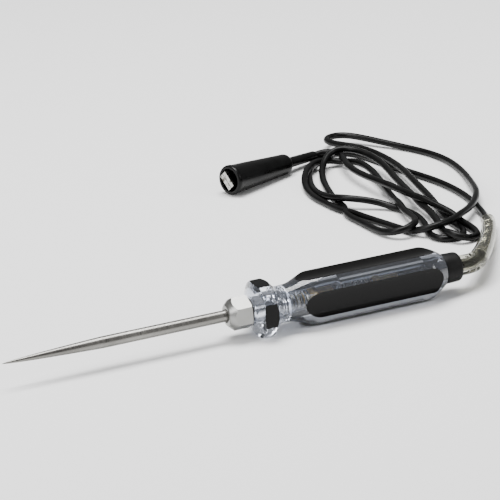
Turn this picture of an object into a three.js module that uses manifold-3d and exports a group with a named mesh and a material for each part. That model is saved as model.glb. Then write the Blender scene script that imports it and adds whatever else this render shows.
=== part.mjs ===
// Automotive circuit test light: a pointed steel probe, a chrome nose nut, a clear fluted handle
// with a bulb inside, and a looped lead that ends in an alligator clip inside a vinyl boot.
// Millimetres, +Z up. The tool lies along X with its tip at -X, and stands on the plane z = 0.
import * as THREE from 'three';
import { mergeVertices } from 'three/addons/utils/BufferGeometryUtils.js';
import Module from 'manifold-3d';

const wasm = await Module();
wasm.setup();

// ---------------------------------------------------------------- driving dimensions
const TOOL_LENGTH = 199;
const AXIS_HEIGHT = 10.7;
const GAP = 0.3;

// Places along the tool are distances from the tip of the probe.
const PROBE_RADIUS = 2.38;
const TAPER_LENGTH = 41;
const TAPER_POWER = 0.62;
const NUT_FRONT = 93.5;
const NUT_REAR = 102.9;
const NUT_ACROSS_FLATS = 12;
const NUT_CORNER_RADIUS = 7;
const NUT_FACE_RADIUS = 3.9;
const NUT_TURN = THREE.MathUtils.degToRad(3.5);
const SHANK_REAR = 119;
const SHANK_RADIUS = 4.35;
const THREAD_PITCH = 1.25;
const THREAD_DEPTH = 0.5;
const PROBE_BORE = 2.65;
const SOCKET_RADIUS = 3.4;
const SOCKET_FRONT = 111;
const PROBE_HEAD_LENGTH = 2.5;
const GASKET_RADIUS = 5.6;

const HANDLE_FRONT = 104;
const RIM_FRONT = 106.6;
const RIM_REAR = 111.2;
const COLLAR_FOOT = 115;
const FLARE_FRONT = 121.5;
const FLARE_REAR = 130.5;
const DOME_FRONT = 183;
const HANDLE_REAR = 189.7;
const RIM_RADIUS = 11.8;
const NECK_RADIUS = 7.6;
const HANDLE_RADIUS = 11.1;
const CHAMBER_RADIUS = 4.75;
const CHAMBER_REAR = 142;
const DUCT_RADIUS = 3.7;
const CAP_SEAT_FRONT = 180;

const FLUTE_COUNT = 4;
const FLUTE_CUTTER = 18;
const FLUTE_FLOOR = 8.9;
const FLUTE_FRONT = 132;

const GLASS_FRONT = 121;
const GLASS_RADIUS = 2.9;
const BASE_FRONT = 131;
const BASE_REAR = 139.5;
const BASE_RADIUS = 3.3;
const FLANGE_RADIUS = 4.4;
const INSULATOR_REAR = 140.6;
const INSULATOR_RADIUS = 2.3;
const CONTACT_RADIUS = 1.3;
const CONTACT_HEIGHT = 0.8;
const FRONT_SPRING = { from: 119.9, to: 130.1, radius: 3.9, wire: 0.4, turns: 6 };
const LAMP_SPRING = { from: 142.6, to: 157.3, radius: 2.8, wire: 0.35, turns: 10 };
const TERMINAL_FRONT = 158;
const TERMINAL_REAR = 168;
const TERMINAL_FLANGE = 1.5;
const TERMINAL_WALL = 3;

const CAP_RADIUS = 6.2;
const CAP_ROUNDING = 1.5;
const LEAD_RADIUS = 1.6;
const LEAD_SIDES = 8;
const CLEAR_BORE = 1.9;

// The strain relief curves down from the cap to the table; these are points of its centre line.
const RELIEF_ROUTE = [
  [99.5, 0, 10.7], [103.5, 0, 10.7], [107.5, 2.2, 10.4], [113, 8.5, 9.7], [120, 18, 8.4],
  [127, 28.5, 7], [133, 38, 5.7], [139, 48.5, 4.5], [143.5, 57, 3.6], [146.5, 64, 3.25],
];
// From the lip of the strain relief the lead runs along the table to the loops.
const LEAD_ROUTE = [[149.2, 72, 2.3], [151.3, 79.5, 1.8]];
const LEAD_STEPS = 24;
const RELIEF_ROOT_RADIUS = 4.3;
const RELIEF_TIP_RADIUS = 3.15;
const RELIEF_TAPER_POWER = 0.8;
const RELIEF_BORE = 2.75;
const RELIEF_STEPS = 16;
const RELIEF_SPRING_OUTER = 2.5;
const RELIEF_SPRING_INNER = 1.95;
const RELIEF_SPRING_INSET = 5;
const RELIEF_SPRING_STEPS = 14;

// Outline of the loops of lead on the table, going round.
const LOOPS_OUTLINE = [
  [124, 40.5], [114, 49.5], [104, 59], [97.5, 78], [93.5, 100], [93.5, 126], [96.5, 150],
  [104, 166], [113, 175.5], [122, 181], [124.6, 184], [124.6, 194], [128, 206], [137, 211],
  [148, 205], [162, 191], [171, 172], [173.5, 152], [169.5, 126], [162, 101], [155, 87.5],
  [146, 79], [138.5, 68], [134, 58], [131.5, 50], [129, 43.5],
];
const LOOPS_STEPS = 66;
const LOOPS_HEIGHT = 8;
const TABLE_CLEARANCE = 0.05;

// The boot lies on the table with its mouth towards the tip of the tool.
// Places on the boot and the clip are distances from the mouth.
const BOOT_MOUTH = [65.8, 164.6, 7.45];
const BOOT_HEADING = THREE.MathUtils.degToRad(22.4);
const BOOT_DIP = THREE.MathUtils.degToRad(3.7);
const BOOT_MOUTH_RADIUS = 7.1;
const BOOT_REAR_RADIUS = 4.85;
const BOOT_BODY_LENGTH = 39;
const BOOT_LENGTH = 58.5;
const BOOT_WALL = 1.4;
const TAIL_RADIUS = 2.45;
const TAIL_BORE = 1.75;

// The clip is made with its jaws closing on its own XY plane, and is turned inside the boot.
const CLIP_ROLL = THREE.MathUtils.degToRad(46);
const NOSE_OUT = 1.5;
const NOSE_HALF_WIDTH = 4;
const JAW_THICKNESS = 2.1;
const JAW_GAP = 0.15;
const TOOTH_DEPTH = 0.6;
const TOOTH_PITCH = 1.6;
const TOOTH_COUNT = 5;
const JAW_REAR = 31.5;
const PIVOT_AT = 20;
const PIN_RADIUS = 0.7;
const PIN_CLEARANCE = 0.2;
const PIN_HALF_LENGTH = 3.7;
const PIN_HEAD_RADIUS = 1.1;
const PIN_HEAD_THICKNESS = 0.4;
const EAR_RADIUS = 1.6;
const EAR_CLEARANCE = 0.35;
const INNER_EAR = [2, 2.4];
const INNER_EAR_ROOM = [1.9, 2.6];
const OUTER_EAR = [2.7, 3.1];
const OUTER_EAR_ROOM = [2.5, 3.3];
const TROUGH_FRONT = 8.5;
const TROUGH_HALF_WIDTH = 2;
const TROUGH_TOP = 1.6;
const COIL_POCKET_RADIUS = 1.9;
const COIL_RADIUS = 1.2;
const COIL_WIRE = 0.28;
const COIL_HALF_WIDTH = 1.5;
const COIL_TURNS = 3.5;
const COIL_LEG_REAR = 28;
const CRIMP_FRONT = 32.1;
const CRIMP_REAR = 36;
const CRIMP_RADIUS = 2.5;

// ---------------------------------------------------------------- helpers
const v2 = (x, y) => new THREE.Vector2(x, y);
const v3 = (point) => new THREE.Vector3(...point);
const range = (count, valueAt) => Array.from({ length: count }, (_, i) => valueAt(i));

// One closed, indexed surface with its faces outwards.
function closed(geometry) {
  const bare = geometry.clone();
  for (const name of Object.keys(bare.attributes)) {
    if (name !== 'position') bare.deleteAttribute(name);
  }
  const merged = mergeVertices(bare, 1e-4);
  const index = Array.from(merged.index.array);
  const at = (i) => new THREE.Vector3().fromBufferAttribute(merged.attributes.position, i);
  const kept = [];
  let volume = 0;
  for (let i = 0; i < index.length; i += 3) {
    const [a, b, c] = index.slice(i, i + 3);
    if (a === b || b === c || c === a) continue;
    kept.push([a, b, c]);
    volume += at(a).dot(at(b).cross(at(c)));
  }
  const outward = volume < 0 ? kept.map(([a, b, c]) => [a, c, b]) : kept;
  merged.setIndex(outward.flat());
  return merged;
}

function toSolid(geometry) {
  const surface = closed(geometry);
  return new wasm.Manifold(new wasm.Mesh({
    numProp: 3,
    vertProperties: new Float32Array(surface.attributes.position.array),
    triVerts: new Uint32Array(surface.index.array),
  }));
}

function fromSolid(solid) {
  const mesh = solid.getMesh();
  const geometry = new THREE.BufferGeometry();
  geometry.setAttribute('position', new THREE.BufferAttribute(mesh.vertProperties, mesh.numProp));
  geometry.setIndex(new THREE.BufferAttribute(mesh.triVerts, 1));
  return geometry;
}

function cut(body, ...tools) {
  return fromSolid(tools.reduce((solid, tool) => solid.subtract(toSolid(tool)), toSolid(body)));
}

function join(first, ...rest) {
  return fromSolid(rest.reduce((solid, other) => solid.add(toSolid(other)), toSolid(first)));
}

function common(a, b) {
  return fromSolid(toSolid(a).intersect(toSolid(b)));
}

// A turned piece about X. Each point is [distance along X, radius].
function turned(profile, sides = 32) {
  const points = profile.map(([x, radius]) => v2(radius, x));
  return closed(new THREE.LatheGeometry(points, sides).rotateZ(-Math.PI / 2));
}

// A turned ring or tube: the profile goes once round the section.
function ring(profile, sides = 32) {
  return turned([...profile, profile[0]], sides);
}

function tubeAlongX(from, to, outer, inner, sides) {
  return ring([[from, inner], [from, outer], [to, outer], [to, inner]], sides);
}

function rodAlongX(from, to, radius, sides) {
  return turned([[from, 0], [from, radius], [to, radius], [to, 0]], sides);
}

function rodAlongY(x, from, to, radius, sides = 16) {
  const rod = new THREE.CylinderGeometry(radius, radius, to - from, sides);
  return rod.translate(x, (from + to) / 2, 0);
}

// A round edge on a turned profile, between two angles in degrees.
function arc(x, r, radius, from, to, steps = 5) {
  return range(steps + 1, (i) => {
    const angle = THREE.MathUtils.degToRad(from + ((to - from) * i) / steps);
    return [x + radius * Math.cos(angle), Math.max(r + radius * Math.sin(angle), 0)];
  });
}

function polygonSection(radius, sides) {
  const corners = range(sides, (i) => {
    const angle = (2 * Math.PI * (i + 0.5)) / sides;
    return v2(radius * Math.cos(angle), radius * Math.sin(angle));
  });
  return new THREE.Shape(corners);
}

function sweep(path, radius, sides, steps) {
  const options = { extrudePath: path, steps, bevelEnabled: false };
  return closed(new THREE.ExtrudeGeometry(polygonSection(radius, sides), options));
}

// Bends a piece that was made along X so that its axis follows a path.
function bentAlong(path, geometry) {
  const length = path.getLength();
  const bent = geometry.clone();
  const position = bent.attributes.position;
  for (let i = 0; i < position.count; i += 1) {
    const share = THREE.MathUtils.clamp(position.getX(i) / length, 0, 1);
    const ahead = path.getTangentAt(share);
    const side = new THREE.Vector3(0, 0, 1).cross(ahead).normalize();
    const up = ahead.clone().cross(side);
    const placed = path.getPointAt(share);
    placed.addScaledVector(side, position.getY(i));
    placed.addScaledVector(up, position.getZ(i));
    position.setXYZ(i, placed.x, placed.y, placed.z);
  }
  return closed(bent);
}

function outlineExtruded(points, depth) {
  const shape = new THREE.Shape(points.map(([x, y]) => v2(x, y)));
  return new THREE.ExtrudeGeometry(shape, { depth, bevelEnabled: false });
}

// A close coil about X, made of round wire.
function coilSpring({ from, to, radius, wire, turns }) {
  const stepsPerTurn = 10;
  const points = range(turns * stepsPerTurn + 1, (i) => {
    const angle = (2 * Math.PI * i) / stepsPerTurn;
    const x = from + ((to - from) * i) / (turns * stepsPerTurn);
    return v3([x, radius * Math.cos(angle), radius * Math.sin(angle)]);
  });
  return sweep(new THREE.CatmullRomCurve3(points), wire, 5, turns * stepsPerTurn);
}

// ---------------------------------------------------------------- materials
function material(color, roughness, metalness, opacity = 1) {
  const made = new THREE.MeshStandardMaterial({ color, roughness, metalness });
  if (opacity < 1) {
    made.transparent = true;
    made.opacity = opacity;
  }
  return made;
}

const satinSteel = () => material(0x9c9d9a, 0.32, 1);
const brightNickel = () => material(0xb9bab6, 0.25, 1);
const springWire = () => material(0xb8b8b4, 0.3, 1);
const brass = () => material(0xb89a52, 0.35, 1);
const solder = () => material(0xb4b4b0, 0.4, 1);
const clearPlastic = () => material(0x9aa3b4, 0.1, 0, 0.55);
const bulbGlassClear = () => material(0xe8d9a0, 0.05, 0, 0.6);
const darkCeramic = () => material(0x2a2220, 0.5, 0);
const blackPlastic = () => material(0x141416, 0.55, 0);
const blackVinyl = () => material(0x17181a, 0.5, 0);
const blackRubber = () => material(0x1a1a1c, 0.6, 0);
const greyVinyl = () => material(0x9a9a90, 0.45, 0, 0.6);

function piece(name, geometry, surface) {
  const mesh = new THREE.Mesh(geometry, surface);
  mesh.name = name;
  return mesh;
}

// ---------------------------------------------------------------- nose
function probe() {
  const point = [[0, 0], [0.05, 0.2]];
  const taperStations = [1.2, 3, 6, 10, 15, 20, 26, 33, TAPER_LENGTH];
  const taper = taperStations.map((x) => [x, PROBE_RADIUS * (x / TAPER_LENGTH) ** TAPER_POWER]);
  const headFront = SOCKET_FRONT + GAP;
  const headRear = SOCKET_FRONT + PROBE_HEAD_LENGTH;
  const headRadius = SOCKET_RADIUS - GAP;
  const head = [
    [headFront, PROBE_RADIUS], [headFront, headRadius], [headRear, headRadius], [headRear, 0],
  ];
  return turned([...point, ...taper, ...head], 24);
}

function hexagonPrism() {
  const corner = NUT_ACROSS_FLATS / Math.sqrt(3);
  const hexagon = range(6, (i) => {
    const angle = (Math.PI / 3) * i + NUT_TURN;
    return [corner * Math.sin(angle), corner * Math.cos(angle)];
  });
  const alongX = new THREE.Matrix4().makeBasis(v3([0, 1, 0]), v3([0, 0, 1]), v3([1, 0, 0]));
  const prism = outlineExtruded(hexagon, NUT_REAR - NUT_FRONT);
  return prism.applyMatrix4(alongX).translate(NUT_FRONT, 0, 0);
}

// The front face of the nut is domed and its rear corners are eased.
function nutEnvelope() {
  return turned([
    [NUT_FRONT, 0], [NUT_FRONT, NUT_FACE_RADIUS], [NUT_FRONT + 0.7, NUT_FACE_RADIUS + 1.1],
    [NUT_FRONT + 2.4, NUT_CORNER_RADIUS - 0.7], [NUT_FRONT + 3.4, NUT_CORNER_RADIUS],
    [NUT_REAR - 0.8, NUT_CORNER_RADIUS], [NUT_REAR, NUT_CORNER_RADIUS - 0.6], [NUT_REAR, 0],
  ]);
}

function threadedShank() {
  const rootRadius = SHANK_RADIUS - THREAD_DEPTH;
  const thread = [];
  for (let x = NUT_REAR + 1.5; x < SHANK_REAR - THREAD_PITCH; x += THREAD_PITCH) {
    thread.push([x, rootRadius], [x + THREAD_PITCH / 2, SHANK_RADIUS]);
  }
  return turned([
    [NUT_REAR - 1, 0], [NUT_REAR - 1, rootRadius], ...thread,
    [SHANK_REAR - 0.6, rootRadius], [SHANK_REAR, rootRadius - 0.2], [SHANK_REAR, 0],
  ], 24);
}

function noseNut() {
  const head = common(hexagonPrism(), nutEnvelope());
  const bore = rodAlongX(NUT_FRONT - 1, SHANK_REAR + 1, PROBE_BORE, 24);
  const socket = rodAlongX(SOCKET_FRONT, SHANK_REAR + 1, SOCKET_RADIUS, 24);
  return cut(join(head, threadedShank()), bore, socket);
}

function noseGasket() {
  return tubeAlongX(NUT_REAR + GAP, HANDLE_FRONT - GAP, GASKET_RADIUS, SHANK_RADIUS + GAP, 32);
}

// ---------------------------------------------------------------- handle
function handleOutside() {
  const shoulder = CAP_RADIUS + GAP;
  return turned([
    [HANDLE_FRONT, 0], [HANDLE_FRONT, 6.5], [RIM_FRONT, RIM_RADIUS - 0.5],
    [RIM_FRONT + 0.5, RIM_RADIUS], [RIM_REAR - 0.5, RIM_RADIUS], [RIM_REAR, RIM_RADIUS - 0.5],
    [COLLAR_FOOT, NECK_RADIUS + 0.5], [COLLAR_FOOT + 1.2, NECK_RADIUS],
    [FLARE_FRONT, NECK_RADIUS + 0.1], [FLARE_FRONT + 2, NECK_RADIUS + 0.8],
    [FLARE_REAR - 3, HANDLE_RADIUS - 0.9], [FLARE_REAR - 1, HANDLE_RADIUS - 0.25],
    [FLARE_REAR + 0.8, HANDLE_RADIUS], [DOME_FRONT, HANDLE_RADIUS - 0.15],
    [DOME_FRONT + 1.5, HANDLE_RADIUS - 0.55], [HANDLE_REAR - 1.2, shoulder + 1.5],
    [HANDLE_REAR - 0.3, shoulder + 0.6], [HANDLE_REAR, shoulder], [HANDLE_REAR, 0],
  ], 48);
}

// A flute has a flat-bottomed round channel and a scooped front end.
function fluteCutter(turn) {
  const rear = HANDLE_REAR + 5;
  const scoop = arc(FLUTE_FRONT, 0, FLUTE_CUTTER, 180, 90, 9);
  const channel = turned([...scoop, [rear, FLUTE_CUTTER], [rear, 0]], 72);
  return channel.translate(0, 0, FLUTE_FLOOR + FLUTE_CUTTER).rotateX(turn);
}

function collarFlatCutter(turn) {
  const thickness = 4;
  const flat = new THREE.BoxGeometry(COLLAR_FOOT - HANDLE_FRONT, 20, thickness);
  flat.translate((COLLAR_FOOT + HANDLE_FRONT) / 2, 0, AXIS_HEIGHT + thickness / 2);
  return flat.rotateX(turn);
}

function handleShell() {
  const turns = range(FLUTE_COUNT, (i) => (2 * Math.PI * i) / FLUTE_COUNT);
  return cut(
    handleOutside(),
    rodAlongX(HANDLE_FRONT - 1, CHAMBER_REAR, CHAMBER_RADIUS, 32),
    rodAlongX(CHAMBER_REAR - 1, HANDLE_REAR, DUCT_RADIUS, 32),
    rodAlongX(CAP_SEAT_FRONT, HANDLE_REAR + 1, CHAMBER_RADIUS, 32),
    ...turns.map(fluteCutter),
    ...turns.map(collarFlatCutter),
  );
}

function endCap() {
  const spigot = CHAMBER_RADIUS - GAP;
  const rearEdge = arc(TOOL_LENGTH - CAP_ROUNDING, CAP_RADIUS - CAP_ROUNDING, CAP_ROUNDING, 90, 0, 4);
  const outside = turned([
    [CAP_SEAT_FRONT + GAP, 0], [CAP_SEAT_FRONT + GAP, spigot], [HANDLE_REAR + GAP, spigot],
    [HANDLE_REAR + GAP, CAP_RADIUS], ...rearEdge, [TOOL_LENGTH, 0],
  ], 40);
  return cut(outside, rodAlongX(CAP_SEAT_FRONT - 1, TOOL_LENGTH + 1, CLEAR_BORE, 24));
}

// ---------------------------------------------------------------- lamp and contacts
function bulbGlass() {
  const rear = BASE_FRONT - GAP;
  return turned([
    ...arc(GLASS_FRONT + GLASS_RADIUS, 0, GLASS_RADIUS, 180, 90, 6),
    [BASE_FRONT - 3.5, GLASS_RADIUS], [BASE_FRONT - 1.5, 2.4], [rear, 2.3], [rear, 0],
  ], 24);
}

function bulbBase() {
  return turned([
    [BASE_FRONT, 0], [BASE_FRONT, FLANGE_RADIUS], [BASE_FRONT + 1, FLANGE_RADIUS],
    [BASE_FRONT + 1, BASE_RADIUS], [BASE_REAR - 0.8, BASE_RADIUS],
    [BASE_REAR, BASE_RADIUS - 0.8], [BASE_REAR, 0],
  ], 28);
}

function bulbInsulator() {
  return rodAlongX(BASE_REAR + GAP, INSULATOR_REAR, INSULATOR_RADIUS, 24);
}

function bulbContact() {
  const front = INSULATOR_REAR + GAP;
  return turned([
    [front, 0], [front, CONTACT_RADIUS], [front + CONTACT_HEIGHT / 2, CONTACT_RADIUS - 0.3],
    [front + CONTACT_HEIGHT, 0],
  ], 20);
}

function leadTerminal() {
  const flangeRadius = 3.3;
  const barrelRadius = 2.6;
  const flangeRear = TERMINAL_FRONT + TERMINAL_FLANGE;
  const outside = turned([
    [TERMINAL_FRONT, 0], [TERMINAL_FRONT, flangeRadius], [flangeRear, flangeRadius],
    [flangeRear, barrelRadius], [TERMINAL_REAR, barrelRadius], [TERMINAL_REAR, 0],
  ], 24);
  return cut(outside, rodAlongX(TERMINAL_FRONT + TERMINAL_WALL, TERMINAL_REAR + 1, CLEAR_BORE, 16));
}

function leadInHandle() {
  const front = TERMINAL_FRONT + TERMINAL_WALL + GAP;
  return rodAlongX(front, TOOL_LENGTH - 0.1, LEAD_RADIUS, LEAD_SIDES);
}

// ---------------------------------------------------------------- strain relief and lead
function reliefPath() {
  return new THREE.CatmullRomCurve3(RELIEF_ROUTE.map(v3));
}

function reliefSleeve(path) {
  const length = path.getLength();
  const stations = range(RELIEF_STEPS + 1, (i) => GAP + ((length - 2 * GAP) * i) / RELIEF_STEPS);
  const radiusAt = (x) => {
    const share = (x / length) ** RELIEF_TAPER_POWER;
    return THREE.MathUtils.lerp(RELIEF_ROOT_RADIUS, RELIEF_TIP_RADIUS, share);
  };
  const outside = stations.map((x) => [x, radiusAt(x)]);
  const inside = stations.map((x) => [x, RELIEF_BORE]).reverse();
  return bentAlong(path, ring([...outside, ...inside], 16));
}

// The close coil inside the sleeve is one tube.
function reliefSpring(path) {
  const length = path.getLength() - 2 * RELIEF_SPRING_INSET;
  const stations = range(RELIEF_SPRING_STEPS + 1, (i) => (
    RELIEF_SPRING_INSET + (length * i) / RELIEF_SPRING_STEPS
  ));
  const outside = stations.map((x) => [x, RELIEF_SPRING_OUTER]);
  const inside = stations.map((x) => [x, RELIEF_SPRING_INNER]).reverse();
  return bentAlong(path, ring([...outside, ...inside], 12));
}

function leadFront() {
  const [x, y, z] = RELIEF_ROUTE[0];
  const route = [[x + GAP, y, z], ...RELIEF_ROUTE.slice(1), ...LEAD_ROUTE];
  return sweep(new THREE.CatmullRomCurve3(route.map(v3)), LEAD_RADIUS, LEAD_SIDES, LEAD_STEPS);
}

function leadLoops() {
  const corners = LOOPS_OUTLINE.map(([x, y]) => v3([x, y, 0]));
  const outline = new THREE.CatmullRomCurve3(corners, true, 'centripetal');
  const points = outline.getPoints(LOOPS_STEPS).slice(0, -1).map(({ x, y }) => [x, y]);
  return closed(outlineExtruded(points, LOOPS_HEIGHT).translate(0, 0, TABLE_CLEARANCE));
}

// ---------------------------------------------------------------- boot
// The bore of the boot keeps an even wall.
function bootBore(x) {
  return THREE.MathUtils.lerp(BOOT_MOUTH_RADIUS, BOOT_REAR_RADIUS, x / BOOT_BODY_LENGTH) - BOOT_WALL;
}

function boot() {
  const rim = BOOT_MOUTH_RADIUS;
  const rear = BOOT_BODY_LENGTH;
  const outside = turned([
    [0, 0], [0, rim - 0.8], [0.3, rim - 0.2], [1.1, rim], [12, 6.35], [24, 5.6],
    [rear - 2, BOOT_REAR_RADIUS], [rear - 0.8, BOOT_REAR_RADIUS - 0.35],
    [rear, BOOT_REAR_RADIUS - 1.3], [rear + 0.4, TAIL_RADIUS + 0.1],
    [BOOT_LENGTH - 0.6, TAIL_RADIUS - 0.1], [BOOT_LENGTH, TAIL_RADIUS - 0.4], [BOOT_LENGTH, 0],
  ], 36);
  const hollow = turned([
    [-1, 0], [-1, bootBore(0) + 0.3], [0.6, bootBore(0)], [rear - 2, bootBore(rear - 2)],
    [rear - 1, 2.4], [rear - 1, 0],
  ], 28);
  return cut(outside, hollow, rodAlongX(rear - 2, BOOT_LENGTH + 1, TAIL_BORE, 16));
}

function leadInBoot() {
  return rodAlongX(JAW_REAR + GAP, BOOT_LENGTH - 0.1, LEAD_RADIUS, LEAD_SIDES);
}

// ---------------------------------------------------------------- clip
// Both ears of a jaw, or the room for them: a slice on each side about the pivot.
function earPair([inner, outer], radius) {
  return [
    rodAlongY(PIVOT_AT, inner, outer, radius, 20),
    rodAlongY(PIVOT_AT, -outer, -inner, radius, 20),
  ];
}

// The jaw above the closing plane, seen from the side: a toothed nose and a rising tail.
function jawProfile() {
  const teeth = [];
  for (let i = 0; i < TOOTH_COUNT; i += 1) {
    const front = -NOSE_OUT + TOOTH_PITCH * i;
    teeth.push([front, JAW_GAP], [front + TOOTH_PITCH / 2, JAW_GAP + TOOTH_DEPTH]);
  }
  const side = [
    ...teeth, [-NOSE_OUT + TOOTH_PITCH * TOOTH_COUNT, JAW_GAP], [PIVOT_AT - 3, 0.5],
    [PIVOT_AT + 2, 0.5], [JAW_REAR, 1.9], [JAW_REAR, 2.7], [PIVOT_AT + 2, 3.1],
    [PIVOT_AT - 5, 2.9], [4, JAW_THICKNESS], [-NOSE_OUT, JAW_THICKNESS],
  ];
  const extruded = outlineExtruded(side, 2 * NOSE_HALF_WIDTH);
  return extruded.rotateX(Math.PI / 2).translate(0, NOSE_HALF_WIDTH, 0);
}

// The same jaw seen from above: wide at the nose and narrow at the tail.
function jawPlan() {
  const oneSide = [
    [-NOSE_OUT, NOSE_HALF_WIDTH], [2, NOSE_HALF_WIDTH], [6, 3.2], [PIVOT_AT, 3.1], [JAW_REAR, 2.2],
  ];
  const otherSide = oneSide.map(([x, y]) => [x, -y]);
  return outlineExtruded([...otherSide, ...oneSide.reverse()], 8).translate(0, 0, -2);
}

// Behind the teeth the sheet of a jaw is hollow underneath.
function jawTrough() {
  const length = JAW_REAR - TROUGH_FRONT + 1;
  const trough = new THREE.BoxGeometry(length, 2 * TROUGH_HALF_WIDTH, 4);
  return trough.translate(TROUGH_FRONT + length / 2, 0, TROUGH_TOP - 2);
}

function clipJaw(ownEars, otherEarsRoom) {
  const sheet = cut(common(jawProfile(), jawPlan()), jawTrough());
  const room = earPair(otherEarsRoom, EAR_RADIUS + EAR_CLEARANCE);
  const pocket = rodAlongY(PIVOT_AT, -TROUGH_HALF_WIDTH, TROUGH_HALF_WIDTH, COIL_POCKET_RADIUS);
  const pinHole = rodAlongY(PIVOT_AT, -5, 5, PIN_RADIUS + PIN_CLEARANCE);
  return cut(join(cut(sheet, ...room, pocket), ...earPair(ownEars, EAR_RADIUS)), pinHole);
}

function upperJaw() {
  return clipJaw(OUTER_EAR, INNER_EAR_ROOM);
}

function lowerJaw() {
  return closed(clipJaw(INNER_EAR, OUTER_EAR_ROOM).rotateX(Math.PI));
}

function pivotPin() {
  const headFrom = PIN_HALF_LENGTH - PIN_HEAD_THICKNESS;
  return join(
    rodAlongY(PIVOT_AT, -PIN_HALF_LENGTH, PIN_HALF_LENGTH, PIN_RADIUS),
    ...earPair([headFrom, PIN_HALF_LENGTH], PIN_HEAD_RADIUS),
  );
}

// A torsion spring about the pin, with a leg along each tail.
function clipSpring() {
  const stepsPerTurn = 12;
  const steps = COIL_TURNS * stepsPerTurn;
  const coil = range(steps + 1, (i) => {
    const angle = Math.PI / 2 + (2 * Math.PI * i) / stepsPerTurn;
    const y = THREE.MathUtils.lerp(-COIL_HALF_WIDTH, COIL_HALF_WIDTH, i / steps);
    return [PIVOT_AT + COIL_RADIUS * Math.cos(angle), y, COIL_RADIUS * Math.sin(angle)];
  });
  const firstLeg = [[COIL_LEG_REAR, -COIL_HALF_WIDTH, 0.45], [PIVOT_AT + 4, -COIL_HALF_WIDTH, 0.8]];
  const lastLeg = [[PIVOT_AT + 4, COIL_HALF_WIDTH, -0.8], [COIL_LEG_REAR, COIL_HALF_WIDTH, -0.45]];
  const route = [...firstLeg, ...coil, ...lastLeg].map(v3);
  return sweep(new THREE.CatmullRomCurve3(route, false, 'centripetal'), COIL_WIRE, 5, 72);
}

function leadCrimp() {
  return tubeAlongX(CRIMP_FRONT, CRIMP_REAR, CRIMP_RADIUS, CLEAR_BORE, 20);
}

// ---------------------------------------------------------------- assembly
const group = new THREE.Group();
group.name = 'circuit_test_light';

const tool = new THREE.Group();
tool.position.set(-TOOL_LENGTH / 2, 0, AXIS_HEIGHT);
group.add(tool);
tool.add(
  piece('probe', probe(), satinSteel()),
  piece('nose_nut', noseNut(), brightNickel()),
  piece('nose_gasket', noseGasket(), blackRubber()),
  piece('handle_shell', handleShell(), clearPlastic()),
  piece('bulb_glass', bulbGlass(), bulbGlassClear()),
  piece('bulb_base', bulbBase(), brass()),
  piece('bulb_insulator', bulbInsulator(), darkCeramic()),
  piece('bulb_contact', bulbContact(), solder()),
  piece('front_contact_spring', coilSpring(FRONT_SPRING), springWire()),
  piece('lamp_spring', coilSpring(LAMP_SPRING), springWire()),
  piece('lead_terminal', leadTerminal(), brass()),
  piece('lead_in_handle', leadInHandle(), blackVinyl()),
  piece('end_cap', endCap(), blackPlastic()),
);

const relief = reliefPath();
group.add(
  piece('relief_sleeve', reliefSleeve(relief), greyVinyl()),
  piece('relief_spring', reliefSpring(relief), springWire()),
  piece('lead_front', leadFront(), blackVinyl()),
  piece('lead_loops', leadLoops(), blackVinyl()),
);

const bootGroup = new THREE.Group();
bootGroup.position.set(...BOOT_MOUTH);
bootGroup.rotation.set(0, BOOT_DIP, BOOT_HEADING, 'ZYX');
group.add(bootGroup);
bootGroup.add(
  piece('clip_boot', boot(), blackVinyl()),
  piece('lead_in_boot', leadInBoot(), blackVinyl()),
  piece('lead_crimp', leadCrimp(), brightNickel()),
);

const clip = new THREE.Group();
clip.rotation.x = CLIP_ROLL;
bootGroup.add(clip);
clip.add(
  piece('clip_upper_jaw', upperJaw(), brightNickel()),
  piece('clip_lower_jaw', lowerJaw(), brightNickel()),
  piece('clip_pivot_pin', pivotPin(), satinSteel()),
  piece('clip_spring', clipSpring(), springWire()),
);

export default group;
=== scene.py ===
"""Circuit test light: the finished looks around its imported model. Lengths in the tables are millimetres."""
import math

import bmesh
import bpy
import numpy as np
from mathutils import Euler, Matrix, Vector


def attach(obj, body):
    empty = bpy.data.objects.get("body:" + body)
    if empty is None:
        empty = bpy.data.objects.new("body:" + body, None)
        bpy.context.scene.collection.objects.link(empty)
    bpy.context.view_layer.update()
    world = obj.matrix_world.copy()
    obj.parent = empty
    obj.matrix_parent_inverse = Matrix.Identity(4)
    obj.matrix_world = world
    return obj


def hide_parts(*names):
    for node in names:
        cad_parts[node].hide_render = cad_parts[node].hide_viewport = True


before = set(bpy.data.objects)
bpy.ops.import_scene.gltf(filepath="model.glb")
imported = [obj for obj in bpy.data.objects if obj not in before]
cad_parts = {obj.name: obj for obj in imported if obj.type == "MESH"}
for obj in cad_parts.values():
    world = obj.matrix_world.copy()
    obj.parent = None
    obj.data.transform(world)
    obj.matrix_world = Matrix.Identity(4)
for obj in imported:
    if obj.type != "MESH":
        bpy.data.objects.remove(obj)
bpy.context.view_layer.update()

MM = 0.001

# ---------------------------------------------------------------- sizes, millimetres
# On the tool, fronts and rears are distances from the probe's tip, and radii are from its axis.
TOOL_LENGTH = 199.0
AXIS_HEIGHT = 10.7

PROBE_RADIUS = 2.38
TAPER_LENGTH = 41.0
TAPER_POWER = 0.62
PROBE_REAR = 113.0
PROBE_HEAD_FRONT = 111.3
PROBE_HEAD_RADIUS = 3.1

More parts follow.
